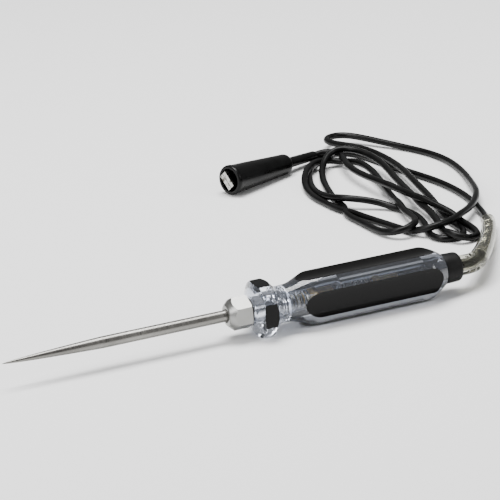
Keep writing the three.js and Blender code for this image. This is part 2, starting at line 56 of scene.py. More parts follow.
NUT_FRONT = 93.5
NUT_REAR = 102.9
NUT_ACROSS_FLATS = 12.0
NUT_TURN = math.radians(3.5)
NUT_FACE_RADIUS = 4.1
NUT_CONE_LENGTH = 2.3
NUT_CONE_RADIUS = 6.2
NUT_CORNER_LENGTH = 3.4
NUT_CORNER_RADIUS = 7.1
NUT_REAR_CHAMFER = 0.5
NUT_REAR_RADIUS = 6.5
NUT_EDGE = 0.12
COUNTERSINK = 1.45
COUNTERSINK_DEPTH = 0.45
SHANK_REAR = 119.0
SHANK_RADIUS = 4.3
THREAD_PITCH = 1.25
THREAD_DEPTH = 0.5
THREAD_FRONT = 111.5
THREAD_REAR = 120.0
CREST_START = 0.42
CREST_END = 0.58
PROBE_BORE = 2.55
PROBE_BORE_REAR = 111.0
LAMP_BORE = 3.4

HANDLE_FRONT = 104.0
HANDLE_REAR = 189.7
HANDLE_RADIUS = 11.1
NECK_RADIUS = 7.6
MOUTH_RADIUS = 6.6
RIM_FRONT = 106.6
RIM_REAR = 111.2
RIM_RADIUS = 11.8
NECK_FRONT = 115.0
NECK_MIDDLE = 117.0
NECK_REAR = 121.5
GRIP_FRONT = 129.4
GRIP_REAR = 182.8
MOUTH_REAR = 104.6
NECK_THREAD_CREST = 0.3
NECK_THREAD_ROOT = 0.15
CHAMBER_FRONT = 121.0
CHAMBER_RADIUS = 4.75
CHAMBER_REAR = 142.0
DUCT_RADIUS = 3.7
FLUTE_CUTTER = 18.0
FLUTE_FLOOR = 8.9
FLUTE_FRONT = 126.5
COLLAR_FLAT_FRONT = 104.5
COLLAR_FLAT_REAR = 113.5
COLLAR_FLAT = 10.7
COLLAR_FLAT_HALF_WIDTH = 5.6

CAP_RADIUS = 6.2
CAP_REAR = 197.6
CAP_SEAT = 180.0
LEAD_RADIUS = 1.6
LEAD_EXIT = 98.3
LEAD_HELD_IN_RELIEF = 73.0
LEAD_HELD_IN_BOOT = 29.0
LEAD_SPACING = 3.0

# How the lead settles. Its centre line keeps this far from itself and aims for this bend radius.
LEAD_THICKNESS = 2 * LEAD_RADIUS + 0.1
LEAST_BEND = 7.0
BEND_SLACK = 0.97
TABLE_GAP = 0.02
PAIR_REACH = 25.0
# The rounds of settling, the steps in each, and how strongly each step acts.
SETTLING_ROUNDS = 400
STRAIGHTENING_STEPS = 4
CONTACT_STEPS = 2
STIFFNESS = 0.11
PULL_HOME = 0.03
CONTACT_PUSH = 1.3
BEND_PUSH = 0.3

# Centre line of the strain relief, from the cap down to the table.
RELIEF_ROUTE = [
    (98, 0, 10.7), (103.5, 0, 10.7), (107.5, 2.2, 10.4), (113, 8.5, 9.7), (120, 18, 8.4),
    (127, 28.5, 7), (133, 38, 5.7), (139, 48.5, 4.5), (143.5, 57, 3.6), (146.5, 64, 3.25),
]
RELIEF_TRIM = 3.5
RELIEF_ROOT_RADIUS = 4.3
RELIEF_TIP_RADIUS = 3.1
RELIEF_WALL = 0.45
RELIEF_ROOT_BORE = 2.3
RELIEF_ROOT_LENGTH = 11.0
RELIEF_WIDENING = 4.0
RELIEF_SIDES = 48
RELIEF_COIL_WIRE = 0.42
RELIEF_COIL_PITCH = 3.4
RELIEF_COIL_FRONT = 16.0
RELIEF_COIL_END_GAP = 7.0
RELIEF_COIL_CLEARANCE = 0.04
STEPS_PER_TURN = 16

# The lead from the lip of the strain relief, round its loops on the table, to the boot's tail.
# Each stretch is a given list; heights rise by one lead where it crosses another.
OUT_OF_RELIEF = [
    (151.5, 80, 1.8), (155, 101, 1.6), (154, 124, 1.6), (149, 145, 1.6), (144, 167, 1.6),
    (139.5, 184, 1.6), (134, 190.5, 1.6), (126.5, 190, 1.6),
]
OUTER_TURN_BACK = [
    (111, 173, 1.6), (100.5, 150, 1.6), (98.5, 127, 3.2), (107, 114.5, 4.8), (117.5, 107.5, 3.2),
    (123.5, 93, 1.6), (122, 76, 1.6),
]
SMALL_NEAR_TURN = [(118, 64, 1.6), (119, 55.5, 1.6), (125, 52, 1.6), (131, 56, 1.6), (132.5, 65, 1.6)]
SECOND_RUN_OUT = [
    (134, 80, 1.8), (137.5, 98, 3.2), (141, 124, 4.8), (145, 150, 4.8), (143.5, 176, 4.8),
    (139, 188, 4.8), (133.5, 199, 4.6),
]
FAR_TURN = [(136.5, 208, 4.4), (145, 206, 4.2)]
RIGHT_RUN_BACK = [
    (154.5, 194, 3.2), (166, 176, 1.6), (172, 155, 1.6), (170.5, 133, 1.6), (164, 111, 3.2),
    (156.5, 92, 4.8), (146, 78, 4.8), (133, 67, 4.8),
]
LEFT_RUN_OUT = [
    (120.5, 61, 4.4), (113, 68, 2.4), (107.5, 86, 1.6), (101, 106, 1.6), (97.5, 126, 1.6),
    (98, 146, 1.6), (104, 162, 3.2),
]
FAR_LEFT_TURN = [
    (114, 174, 4.8), (123, 176.5, 4.8), (130, 169, 4.8), (131.5, 151, 4.8), (127, 124, 3.2),
    (120.5, 97, 3.2), (116.5, 77, 4.8),
]
LEFT_TURN_BACK = [
    (110.5, 66.5, 4.8), (103.5, 70, 3.2), (100, 84, 1.6), (99.5, 107, 1.6), (103.5, 132, 1.6),
    (110, 156, 1.6), (117, 171, 3.2),
]
INNER_RUN_BACK = [
    (125.5, 178.5, 6.4), (134, 173, 7.5), (138.5, 156, 6.4), (136, 134, 4.8), (131.5, 108, 4.8),
    (128, 84, 4.8), (124.5, 66, 4),
]
NEAR_TURN = [
    (122.5, 57, 2.6), (124, 49.5, 1.8), (130, 47, 1.7), (135, 53, 2), (135.5, 62, 3.4),
    (135, 74, 4.6),
]
RUN_TO_BOOT = [
    (129.5, 93, 6.4), (125, 118, 7.5), (123, 140, 6.4), (123.5, 156, 6), (126, 169, 6),
    (128.5, 179, 6), (125.5, 185.5, 4.8),
]
LOOPS_ROUTE = [
    *OUT_OF_RELIEF, *OUTER_TURN_BACK, *SMALL_NEAR_TURN, *SECOND_RUN_OUT, *FAR_TURN,
    *RIGHT_RUN_BACK, *LEFT_RUN_OUT, *FAR_LEFT_TURN, *LEFT_TURN_BACK, *INNER_RUN_BACK, *NEAR_TURN,
    *RUN_TO_BOOT,
]

# The boot lies with its mouth towards the tip of the tool. Places on it are distances from the mouth.
BOOT_MOUTH = (65.8, 164.6, 7.45)
BOOT_HEADING = math.radians(22.4)
BOOT_DIP = math.radians(3.7)
BOOT_LENGTH = 58.5
BOOT_WALL = 1.4
BOOT_TAIL_BORE = 1.75
LEAD_END_IN_BOOT = 32.0

# ---------------------------------------------------------------- camera, floor and light
CAMERA_PLACE = (-348.4, -859.5, 374.5)
CAMERA_RIGHT = (0.91452, -0.40032, -0.05848)
CAMERA_UP = (0.18773, 0.29182, 0.93787)
CAMERA_AHEAD = (0.35837, 0.86868, -0.34202)
CAMERA_LENS = 180.4


def make_camera():
    data = bpy.data.cameras.new("camera")
    data.lens = CAMERA_LENS
    data.sensor_width = 36.0
    data.clip_start = 0.05
    data.clip_end = 20.0
    camera = bpy.data.objects.new("camera", data)
    bpy.context.scene.collection.objects.link(camera)
    back = [-value for value in CAMERA_AHEAD]
    turn = Matrix((CAMERA_RIGHT, CAMERA_UP, back)).transposed().to_4x4()
    camera.matrix_world = Matrix.Translation(Vector(CAMERA_PLACE) * MM) @ turn
    bpy.context.scene.camera = camera


def make_floor():
    mesh = bpy.data.meshes.new("floor")
    half = 6.0
    corners = [(-half, -half, 0), (half, -half, 0), (half, half, 0), (-half, half, 0)]
    mesh.from_pydata(corners, [], [(0, 1, 2, 3)])
    floor = bpy.data.objects.new("floor", mesh)
    bpy.context.scene.collection.objects.link(floor)
    pale = bpy.data.materials.new("pale_table")
    pale.use_nodes = True
    shader = pale.node_tree.nodes["Principled BSDF"]
    shader.inputs["Base Color"].default_value = (0.93, 0.93, 0.93, 1)
    shader.inputs["Roughness"].default_value = 0.9
    shader.inputs["Specular IOR Level"].default_value = 0.1
    mesh.materials.append(pale)


def area_light(name, place, target, size, size_y, power):
    data = bpy.data.lights.new(name, "AREA")
    data.shape = "RECTANGLE"
    data.size = size
    data.size_y = size_y
    data.energy = power
    lamp = bpy.data.objects.new(name, data)
    bpy.context.scene.collection.objects.link(lamp)
    aim = Vector(target) - Vector(place)
    lamp.matrix_world = Matrix.Translation(place) @ aim.to_track_quat("-Z", "Y").to_matrix().to_4x4()


def make_light():
    middle = (0.03, 0.06, 0.0)
    area_light("overhead", (0.05, 0.25, 1.2), middle, size=0.9, size_y=0.6, power=30)
    area_light("left_window", (-1.0, -0.25, 0.75), middle, size=0.35, size_y=0.8, power=9)
    area_light("right_fill", (0.9, -0.8, 0.6), middle, size=0.4, size_y=0.4, power=3)
    world = bpy.data.worlds.new("studio")
    world.use_nodes = True
    background = world.node_tree.nodes["Background"]
    background.inputs["Color"].default_value = (1, 1, 1, 1)
    background.inputs["Strength"].default_value = 0.32
    bpy.context.scene.world = world


# ---------------------------------------------------------------- material helpers
# Most of a noise texture's values lie between these two.
NOISE_LOW = 0.3
NOISE_HIGH = 0.7


class Finish:
    """A material with one shader, and short calls for what varies over the surface."""

    def __init__(self, name, color, roughness, metallic=0.0):
        self.material = bpy.data.materials.new(name)
        self.material.use_nodes = True
        self.material.diffuse_color = (*color, 1)
        self.nodes = self.material.node_tree.nodes
        self.links = self.material.node_tree.links
        self.shader = self.nodes["Principled BSDF"]
        self.set("Base Color", (*color, 1))
        self.set("Roughness", roughness)
        self.set("Metallic", metallic)
        self.height = None

    def set(self, socket, value):
        self.shader.inputs[socket].default_value = value

    def place(self, scale=(1, 1, 1)):
        """Object coordinates, stretched or squeezed along each axis."""
        coordinates = self.nodes.new("ShaderNodeTexCoord")
        mapping = self.nodes.new("ShaderNodeMapping")
        mapping.vector_type = "TEXTURE"
        mapping.inputs["Scale"].default_value = [1 / value for value in scale]
        self.links.new(coordinates.outputs["Object"], mapping.inputs["Vector"])
        return mapping.outputs["Vector"]

    def noise(self, scale, where=None, detail=3.0, roughness=0.5):
        node = self.nodes.new("ShaderNodeTexNoise")
        node.inputs["Scale"].default_value = scale
        node.inputs["Detail"].default_value = detail
        node.inputs["Roughness"].default_value = roughness
        self.links.new(where or self.place(), node.inputs["Vector"])
        return node.outputs["Fac"]

    def spread(self, value, low, high):
        """A noise value spread over the range from low to high."""
        node = self.nodes.new("ShaderNodeMapRange")
        node.inputs["From Min"].default_value = NOISE_LOW
        node.inputs["From Max"].default_value = NOISE_HIGH
        node.inputs["To Min"].default_value = low
        node.inputs["To Max"].default_value = high
        self.links.new(value, node.inputs["Value"])
        return node.outputs["Result"]

    def colors(self, value, stops):
        ramp = self.nodes.new("ShaderNodeValToRGB")
        elements = ramp.color_ramp.elements
        while len(elements) < len(stops):
            elements.new(0.5)
        for element, (at, color) in zip(elements, stops):
            element.position = at
            element.color = (*color, 1)
        self.links.new(value, ramp.inputs["Fac"])
        return ramp.outputs["Color"]

    def drive(self, socket, value):
        self.links.new(value, self.shader.inputs[socket])

    def bump(self, value, distance):
        """Relief of that many millimetres, on top of any bump given before."""
        node = self.nodes.new("ShaderNodeBump")
        node.inputs["Distance"].default_value = distance * MM
        node.inputs["Strength"].default_value = 1.0
        self.links.new(value, node.inputs["Height"])
        if self.height is not None:
            self.links.new(self.height, node.inputs["Normal"])
        self.height = node.outputs["Normal"]
        self.links.new(self.height, self.shader.inputs["Normal"])


def ground_steel():
    """Satin steel with fine grinding lines round the probe and faint stains."""
    finish = Finish("ground_steel", (0.21, 0.205, 0.19), 0.34, 1.0)
    lines = finish.noise(900, finish.place(scale=(1, 0.08, 0.08)), detail=2.0)
    stains = finish.noise(60, detail=4.0)
    tint = [(0.3, (0.17, 0.165, 0.155)), (0.7, (0.25, 0.245, 0.23))]
    finish.drive("Base Color", finish.colors(stains, tint))
    finish.drive("Roughness", finish.spread(lines, 0.26, 0.42))
    finish.bump(lines, 0.012)
    return finish.material


def satin_nickel():
    """Plated and tumbled: faint smears over a very fine grain."""
    finish = Finish("satin_nickel", (0.29, 0.29, 0.28), 0.3, 1.0)
    smear = finish.noise(140, detail=4.0)
    fine = finish.noise(2200, detail=1.0)
    tint = [(0.3, (0.25, 0.25, 0.24)), (0.7, (0.33, 0.33, 0.32))]
    finish.drive("Base Color", finish.colors(smear, tint))
    finish.drive("Roughness", finish.spread(smear, 0.26, 0.38))
    finish.bump(fine, 0.006)
    return finish.material


def bright_nickel():
    """The clip's plating: bright, smeared and pitted with dark specks."""
    finish = Finish("bright_nickel", (0.50, 0.495, 0.47), 0.2, 1.0)
    smear = finish.noise(300, detail=4.0)
    pits = finish.noise(620, detail=2.0)
    tint = [(0.36, (0.10, 0.095, 0.08)), (0.5, (0.50, 0.495, 0.47))]
    finish.drive("Base Color", finish.colors(pits, tint))
    finish.drive("Roughness", finish.spread(smear, 0.12, 0.26))
    finish.bump(smear, 0.02)
    return finish.material


def drawn_wire(name="drawn_wire", color=(0.62, 0.615, 0.6)):
    finish = Finish(name, color, 0.22, 1.0)
    streaks = finish.noise(1200, detail=2.0)
    stains = [(0.3, tuple(0.7 * value for value in color)), (0.65, color)]
    finish.drive("Base Color", finish.colors(streaks, stains))
    finish.bump(streaks, 0.01)
    finish.drive("Roughness", finish.spread(streaks, 0.15, 0.3))
    return finish.material


def aged_brass():
    finish = Finish("aged_brass", (0.60, 0.44, 0.18), 0.32, 1.0)
    tarnish = finish.noise(220, detail=4.0)
    tint = [(0.3, (0.42, 0.29, 0.12)), (0.7, (0.66, 0.50, 0.22))]
    finish.drive("Base Color", finish.colors(tarnish, tint))
    finish.drive("Roughness", finish.spread(tarnish, 0.26, 0.45))
    return finish.material


def soldered():
    finish = Finish("soldered", (0.62, 0.62, 0.6), 0.35, 1.0)
    lumps = finish.noise(900, detail=3.0)
    finish.bump(lumps, 0.05)
    finish.drive("Roughness", finish.spread(lumps, 0.28, 0.48))
    return finish.material


def clear_acrylic():
    """Moulded clear plastic with a faint blue cast and soft flow marks."""
    finish = Finish("clear_acrylic", (0.80, 0.84, 0.92), 0.03)
    finish.set("Transmission Weight", 0.96)
    finish.set("IOR", 1.49)
    flow = finish.noise(90, finish.place(scale=(0.35, 1, 1)), detail=2.0)
    tint = [(0.3, (0.66, 0.70, 0.80)), (0.7, (0.80, 0.84, 0.93))]
    finish.drive("Base Color", finish.colors(flow, tint))
    finish.drive("Roughness", finish.spread(flow, 0.02, 0.07))
    finish.bump(flow, 0.05)
    return finish.material


def gloss_black_paint():
    """The paint in the flutes: glossy, with a little orange peel and scuffs along the grip."""
    finish = Finish("gloss_black_paint", (0.002, 0.002, 0.002), 0.16)
    finish.set("Specular IOR Level", 0.14)
    peel = finish.noise(700, detail=2.0)
    scuffs = finish.noise(260, finish.place(scale=(1, 6, 6)), detail=5.0, roughness=0.7)
    tint = [(0.66, (0.002, 0.002, 0.002)), (0.78, (0.03, 0.03, 0.03))]
    finish.drive("Base Color", finish.colors(scuffs, tint))
    finish.drive("Roughness", finish.spread(peel, 0.12, 0.24))
    finish.bump(peel, 0.012)
    return finish.material


def lamp_glass():
    finish = Finish("lamp_glass", (0.98, 0.90, 0.66), 0.02)
    finish.set("Transmission Weight", 1.0)
    finish.set("IOR", 1.3)
    waves = finish.noise(300, detail=2.0)
    finish.bump(waves, 0.02)
    finish.drive("Roughness", finish.spread(waves, 0.02, 0.08))
    return finish.material


def black_vinyl(name="black_vinyl", gloss=0.36):
    """Plasticised vinyl: a soft sheen, a fine skin and a little dust."""
    finish = Finish(name, (0.002, 0.002, 0.002), gloss)
    finish.set("Specular IOR Level", 0.17)
    skin = finish.noise(1800, detail=2.0)
    dust = finish.noise(120, detail=5.0)
    tint = [(0.35, (0.001, 0.001, 0.001)), (0.75, (0.003, 0.003, 0.003))]
    finish.drive("Base Color", finish.colors(dust, tint))
    finish.drive("Roughness", finish.spread(dust, gloss - 0.06, gloss + 0.1))
    finish.bump(skin, 0.015)
    return finish.material


def matte_black_plastic():
    finish = Finish("matte_black_plastic", (0.002, 0.002, 0.002), 0.5)
    finish.set("Specular IOR Level", 0.16)
    grain = finish.noise(1500, detail=3.0)
    rub = finish.noise(180, detail=4.0)
    tint = [(0.4, (0.002, 0.002, 0.002)), (0.75, (0.008, 0.008, 0.008))]
    finish.drive("Base Color", finish.colors(rub, tint))
    finish.drive("Roughness", finish.spread(grain, 0.42, 0.62))
    finish.bump(grain, 0.025)
    return finish.material


def black_rubber():
    finish = Finish("gasket_rubber", (0.006, 0.006, 0.006), 0.62)
    finish.set("Specular IOR Level", 0.3)
    grain = finish.noise(1300, detail=3.0)
    finish.drive("Roughness", finish.spread(grain, 0.52, 0.72))
    finish.bump(grain, 0.03)
    return finish.material


def dark_insulator():
    finish = Finish("lamp_insulator", (0.045, 0.035, 0.03), 0.45)
    specks = finish.noise(1600, detail=3.0)
    tint = [(0.4, (0.03, 0.024, 0.02)), (0.7, (0.08, 0.06, 0.05))]
    finish.drive("Base Color", finish.colors(specks, tint))
    return finish.material


def smoky_vinyl():
    """Grey vinyl. Its refractive index is lower than real vinyl's, so that more of the coil shows."""
    finish = Finish("smoky_vinyl", (0.30, 0.295, 0.25), 0.06)
    finish.set("Transmission Weight", 0.97)
    finish.set("IOR", 1.12)
    cloud = finish.noise(160, detail=3.0)
    tint = [(0.3, (0.44, 0.435, 0.38)), (0.7, (0.6, 0.595, 0.53))]
    finish.drive("Base Color", finish.colors(cloud, tint))
    finish.drive("Roughness", finish.spread(cloud, 0.02, 0.06))
    finish.bump(cloud, 0.01)
    return finish.material


# ---------------------------------------------------------------- shape helpers
ROUND_STEPS = 5


def linked(name, data):
    piece = bpy.data.objects.new(name, data)
    bpy.context.scene.collection.objects.link(piece)
    return piece


def mesh_piece(name, vertices, edges=(), faces=()):
    mesh = bpy.data.meshes.new(name)
    mesh.from_pydata([tuple(v) for v in vertices], list(edges), list(faces))
    return linked(name, mesh)


def add(piece, kind, **settings):
    modifier = piece.modifiers.new(kind.lower(), kind)
    for key, value in settings.items():
        setattr(modifier, key, value)
    return modifier


def apply_stack(piece):
    """The piece's modifiers, or its curve's thickness, become its mesh."""
    graph = bpy.context.evaluated_depsgraph_get()
    mesh = bpy.data.meshes.new_from_object(piece.evaluated_get(graph))
    if piece.type == "MESH":
        piece.modifiers.clear()
        piece.data = mesh
        return piece
    name = piece.name
    bpy.data.objects.remove(piece)
    return linked(name, mesh)


def facing_out(piece, merge=1e-7):
    """Closes the seams and turns every face outwards. A closed shape whose volume comes out
    negative is inside out, so it is turned round."""
    shape = bmesh.new()
    shape.from_mesh(piece.data)
    bmesh.ops.remove_doubles(shape, verts=shape.verts, dist=merge)
    bmesh.ops.dissolve_degenerate(shape, edges=shape.edges, dist=merge)
    bmesh.ops.recalc_face_normals(shape, faces=shape.faces)
    if shape.calc_volume(signed=True) < 0:
        bmesh.ops.reverse_faces(shape, faces=shape.faces)
    shape.to_mesh(piece.data)
    shape.free()
    return piece


def shaded(piece, angle=32):
    piece.data.shade_smooth()
    piece.data.set_sharp_from_angle(angle=math.radians(angle))
    return piece


def turned(name, profile, steps=96, close=False):
    """A piece turned about X from a profile of (distance along X, radius), in millimetres."""
    points = [(x * MM, 0, r * MM) for x, r in profile]
    edges = [(i, i + 1) for i in range(len(points) - 1)]
    if close:
        edges.append((len(points) - 1, 0))
    piece = mesh_piece(name, points, edges)
    add(piece, "SCREW", axis="X", angle=2 * math.pi, steps=steps, render_steps=steps,
        use_merge_vertices=True, merge_threshold=1e-6)
    return facing_out(apply_stack(piece), merge=1e-6)


def rounded(profile, at, radius):
    """The profile with the corner at one point replaced by a round that starts and ends that far
    from it."""
    before, corner, after = (Vector(profile[i]) for i in (at - 1, at, at + 1))
    towards = (before - corner).normalized()
    onwards = (after - corner).normalized()
    start = corner + towards * radius
    end = corner + onwards * radius
    bend = [
        tuple(start.lerp(corner, t).lerp(corner.lerp(end, t), t))
        for t in (i / ROUND_STEPS for i in range(ROUND_STEPS + 1))
    ]
    return [*profile[:at], *bend, *profile[at + 1:]]


def rounds(profile, radii):
    """Rounds several corners: radii is {index in the profile as given: distance from the corner}."""
    for at in sorted(radii, reverse=True):
        profile = rounded(profile, at, radii[at])
    return profile


def arc(x, r, radius, start, end, steps):
    angles = (math.radians(start + (end - start) * i / steps) for i in range(steps + 1))
    return [(x + radius * math.cos(a), max(r + radius * math.sin(a), 0.0)) for a in angles]


def box_piece(name, low, high):
    shape = bmesh.new()
    bmesh.ops.create_cube(shape, size=1.0)
    low, high = Vector(low) * MM, Vector(high) * MM
    size = high - low
    for vertex in shape.verts:
        vertex.co = Vector([vertex.co[k] * size[k] for k in range(3)]) + (low + high) / 2
    mesh = bpy.data.meshes.new(name)
    shape.to_mesh(mesh)
    shape.free()
    return linked(name, mesh)


def moved(piece, matrix):
    piece.data.transform(matrix)
    return piece


def combined(piece, helper, operation):
    """Cuts or trims the piece with a helper, which is then gone. New faces take the helper's
    material, or the piece's own where the helper has none."""
    if not helper.data.materials:
        helper.data.materials.append(piece.data.materials[0])
    add(piece, "BOOLEAN", object=helper, operation=operation, solver="EXACT", material_mode="TRANSFER")
    apply_stack(piece)
    bpy.data.objects.remove(helper)
    return facing_out(piece, merge=3e-6)


def joined(pieces):
    first, *others = pieces
    shape = bmesh.new()
    for piece in pieces:
        shape.from_mesh(piece.data)
    shape.to_mesh(first.data)
    shape.free()
    for piece in others:
        bpy.data.objects.remove(piece)
    return first


def about_x(angle):
    return Matrix.Rotation(angle, 4, "X")


ON_TOOL = Matrix.Translation(Vector((-TOOL_LENGTH / 2, 0, AXIS_HEIGHT)) * MM)
BOOT_TURN = Euler((0, BOOT_DIP, BOOT_HEADING), "XYZ").to_matrix().to_4x4()
ON_BOOT = Matrix.Translation(Vector(BOOT_MOUTH) * MM) @ BOOT_TURN


def dressed(piece, material, body="handle", angle=32):
    """Gives a finished piece its material, shading and body. A cut piece comes with its
    materials already on its faces, so its material is None here."""
    if material:
        piece.data.materials.append(material)
    if piece.type == "MESH":
        shaded(piece, angle)
    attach(piece, body)
    return piece


# ---------------------------------------------------------------- routes
def smooth_line(points, spacing):
    """A centripetal Catmull-Rom curve through the points, as points an even spacing apart."""
    p = np.array(points, float)
    p = np.vstack([2 * p[0] - p[1], p, 2 * p[-1] - p[-2]])
    line = []
    for i in range(1, len(p) - 2):
        knots = [0.0]
        for a, b in ((i - 1, i), (i, i + 1), (i + 1, i + 2)):
            knots.append(knots[-1] + math.sqrt(np.linalg.norm(p[b] - p[a])))
        t0, t1, t2, t3 = knots
        for t in np.linspace(t1, t2, 24, endpoint=False):
            a1 = ((t1 - t) * p[i - 1] + (t - t0) * p[i]) / (t1 - t0)
            a2 = ((t2 - t) * p[i] + (t - t1) * p[i + 1]) / (t2 - t1)
            a3 = ((t3 - t) * p[i + 1] + (t - t2) * p[i + 2]) / (t3 - t2)
            b1 = ((t2 - t) * a1 + (t - t0) * a2) / (t2 - t0)
            b2 = ((t3 - t) * a2 + (t - t1) * a3) / (t3 - t1)
            line.append(((t2 - t) * b1 + (t - t1) * b2) / (t2 - t1))
    line.append(p[-2])
    return evenly(np.array(line), spacing)


def lengths_along(line):
    return np.concatenate([[0], np.cumsum(np.linalg.norm(np.diff(line, axis=0), axis=1))])


def evenly(line, spacing):
    along = lengths_along(line)
    stations = np.linspace(0, along[-1], int(round(along[-1] / spacing)) + 1)
    return np.stack([np.interp(stations, along, line[:, k]) for k in range(3)], axis=1)


def straightened(lead, loose):
    """One small step of the lead's resistance to bending."""
    sag = np.zeros_like(lead)
    sag[1:-1] = (lead[:-2] + lead[2:]) / 2 - lead[1:-1]
    stiff = np.zeros_like(lead)
    stiff[2:-2] = 2 * sag[2:-2] - sag[1:-3] - sag[3:-1]
    return lead + STIFFNESS * stiff * loose


def pushed_apart(lead, loose, first, second):
    """Pairs of points that are nearer than the lead's thickness move apart, and none sinks into
    the table."""
    apart = lead[first] - lead[second]
    distance = np.linalg.norm(apart, axis=1)
    touching = distance < LEAD_THICKNESS
    a, b = first[touching], second[touching]
    reach = np.maximum(distance[touching], 1e-6)[:, None]
    push = apart[touching] / reach * (LEAD_THICKNESS - reach) / 2
    total = np.zeros_like(lead)
    count = np.zeros((len(lead), 1))
    np.add.at(total, a, push)
    np.add.at(total, b, -push)
    np.add.at(count, a, 1)
    np.add.at(count, b, 1)
    lead = lead + CONTACT_PUSH * total / np.maximum(count, 1) * loose
    lead[:, 2] = np.maximum(lead[:, 2], LEAD_RADIUS + TABLE_GAP)
    return lead


def opened(lead, loose, spacing):
    """Opens bends that are tighter than the least bend, over spans of 4 to 10 steps of the line."""
    for k in (2, 3, 4, 5):
        turn = k * spacing / LEAST_BEND
        least = 2 * LEAST_BEND * math.sin(min(turn, math.pi / 2)) * BEND_SLACK
        chord = lead[2 * k:] - lead[:-2 * k]
        reach = np.linalg.norm(chord, axis=1)[:, None]
        push = np.maximum(least - reach, 0) / np.maximum(reach, 1e-6) * chord * BEND_PUSH
        lead[2 * k:] += push * loose[2 * k:]
        lead[:-2 * k] -= push * loose[:-2 * k]
    return lead


def settled(line, spacing, held_start, held_end):
    """Smooths the lead's route and clears its crossings: it bends gently, stays near the route it
    was given, keeps its thickness from itself and stays above the table. There is no gravity in
    this, so heights come from the route. The two ends stay where they are held."""
    along = lengths_along(line)
    loose = ((along > held_start) & (along < along[-1] - held_end)).astype(float)[:, None]
    home = line.copy()
    lead = line.copy()
    first, second = np.triu_indices(len(line), k=4)
    close = np.linalg.norm(home[first] - home[second], axis=1) < PAIR_REACH
    first, second = first[close], second[close]
    for _ in range(SETTLING_ROUNDS):
        for _ in range(STRAIGHTENING_STEPS):
            lead = straightened(lead, loose)
        lead = lead + PULL_HOME * (home - lead) * loose
        for _ in range(CONTACT_STEPS):
            lead = pushed_apart(lead, loose, first, second)
        lead = opened(lead, loose, spacing)
    return lead


def boot_line(distances):
    return [tuple(ON_BOOT @ Vector((x * MM, 0, 0)) / MM) for x in distances]


def lead_line():
    """The whole free lead: from the end cap, through the strain relief and loops, into the boot."""
    relief = [(LEAD_EXIT, 0, AXIS_HEIGHT), *RELIEF_ROUTE[1:-1]]
    inside = boot_line((BOOT_LENGTH, 52, 45, 38, LEAD_END_IN_BOOT))
    line = smooth_line([*relief, *LOOPS_ROUTE, *inside], LEAD_SPACING)
    return settled(line, LEAD_SPACING, LEAD_HELD_IN_RELIEF, LEAD_HELD_IN_BOOT)


def wire(name, points, radius, sides):
    """A round wire or tube along a line of points in millimetres, as one open spline."""
    data = bpy.data.curves.new(name, "CURVE")
    data.dimensions = "3D"
    data.bevel_depth = radius * MM
    data.bevel_resolution = sides // 4 - 1
    data.use_fill_caps = True
    data.resolution_u = 2
    data.render_resolution_u = 0
    spline = data.splines.new("NURBS")
    spline.points.add(len(points) - 1)
    for i, point in enumerate(points):
        spline.points[i].co = (*(value * MM for value in point), 1)
    spline.order_u = 4
    spline.use_endpoint_u = True
    return linked(name, data)


# ---------------------------------------------------------------- nose
def make_probe():
    taper = [
        (x, PROBE_RADIUS * (x / TAPER_LENGTH) ** TAPER_POWER)
        for x in (0.25, 0.6, 1.2, 2, 3, 4.5, 6, 8, 10, 12.5, 15, 18, 22, 26, 30, 35, TAPER_LENGTH)
    ]
    profile = [
        (0, 0), (0.06, 0.07), *taper, (60, PROBE_RADIUS), (90, PROBE_RADIUS),
        (PROBE_HEAD_FRONT, PROBE_RADIUS), (PROBE_HEAD_FRONT, PROBE_HEAD_RADIUS),
        (PROBE_REAR, PROBE_HEAD_RADIUS), (PROBE_REAR, 0),
    ]
    probe = moved(turned("steel_probe", profile, 64), ON_TOOL)
    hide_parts("probe")
    return dressed(probe, ground_steel(), "nose")


def nut_head():
    """The hexagon, trimmed by a turned shape that chamfers its corners."""
    corner = NUT_ACROSS_FLATS / math.sqrt(3)
    ring = [
        (corner * math.sin(math.pi / 3 * i + NUT_TURN), corner * math.cos(math.pi / 3 * i + NUT_TURN))
        for i in range(6)
    ]
    vertices = [Vector((x, y, z)) * MM for x in (NUT_FRONT, NUT_REAR) for y, z in ring]
    sides = [(i, (i + 1) % 6, 6 + (i + 1) % 6, 6 + i) for i in range(6)]
    ends = [tuple(range(6))[::-1], tuple(range(6, 12))]
    head = facing_out(mesh_piece("nose_nut_finished", vertices, faces=[*sides, *ends]))
    head.data.materials.append(satin_nickel())
    envelope = rounds([
        (NUT_FRONT, 0), (NUT_FRONT, NUT_FACE_RADIUS), (NUT_FRONT + NUT_CONE_LENGTH, NUT_CONE_RADIUS),
        (NUT_FRONT + NUT_CORNER_LENGTH, NUT_CORNER_RADIUS),
        (NUT_REAR - NUT_REAR_CHAMFER, NUT_CORNER_RADIUS), (NUT_REAR, NUT_REAR_RADIUS), (NUT_REAR, 0),
    ], {1: 0.8, 2: 1.0})
    return combined(head, turned("envelope", envelope, 96), "INTERSECT")


def nut_shank():
    """The shank behind the head: plain at first, then threaded."""
    root = SHANK_RADIUS - THREAD_DEPTH
    thread = []
    x = THREAD_FRONT
    while x < SHANK_REAR - THREAD_PITCH:
        thread.append((x, root))
        thread.append((x + THREAD_PITCH * CREST_START, SHANK_RADIUS))
        thread.append((x + THREAD_PITCH * CREST_END, SHANK_RADIUS))
        x += THREAD_PITCH
    return turned("shank", [
        (NUT_REAR - 1, 0), (NUT_REAR - 1, root), *thread, (SHANK_REAR - 0.5, root),
        (SHANK_REAR, root - 0.4), (SHANK_REAR, 0),
    ], 64)


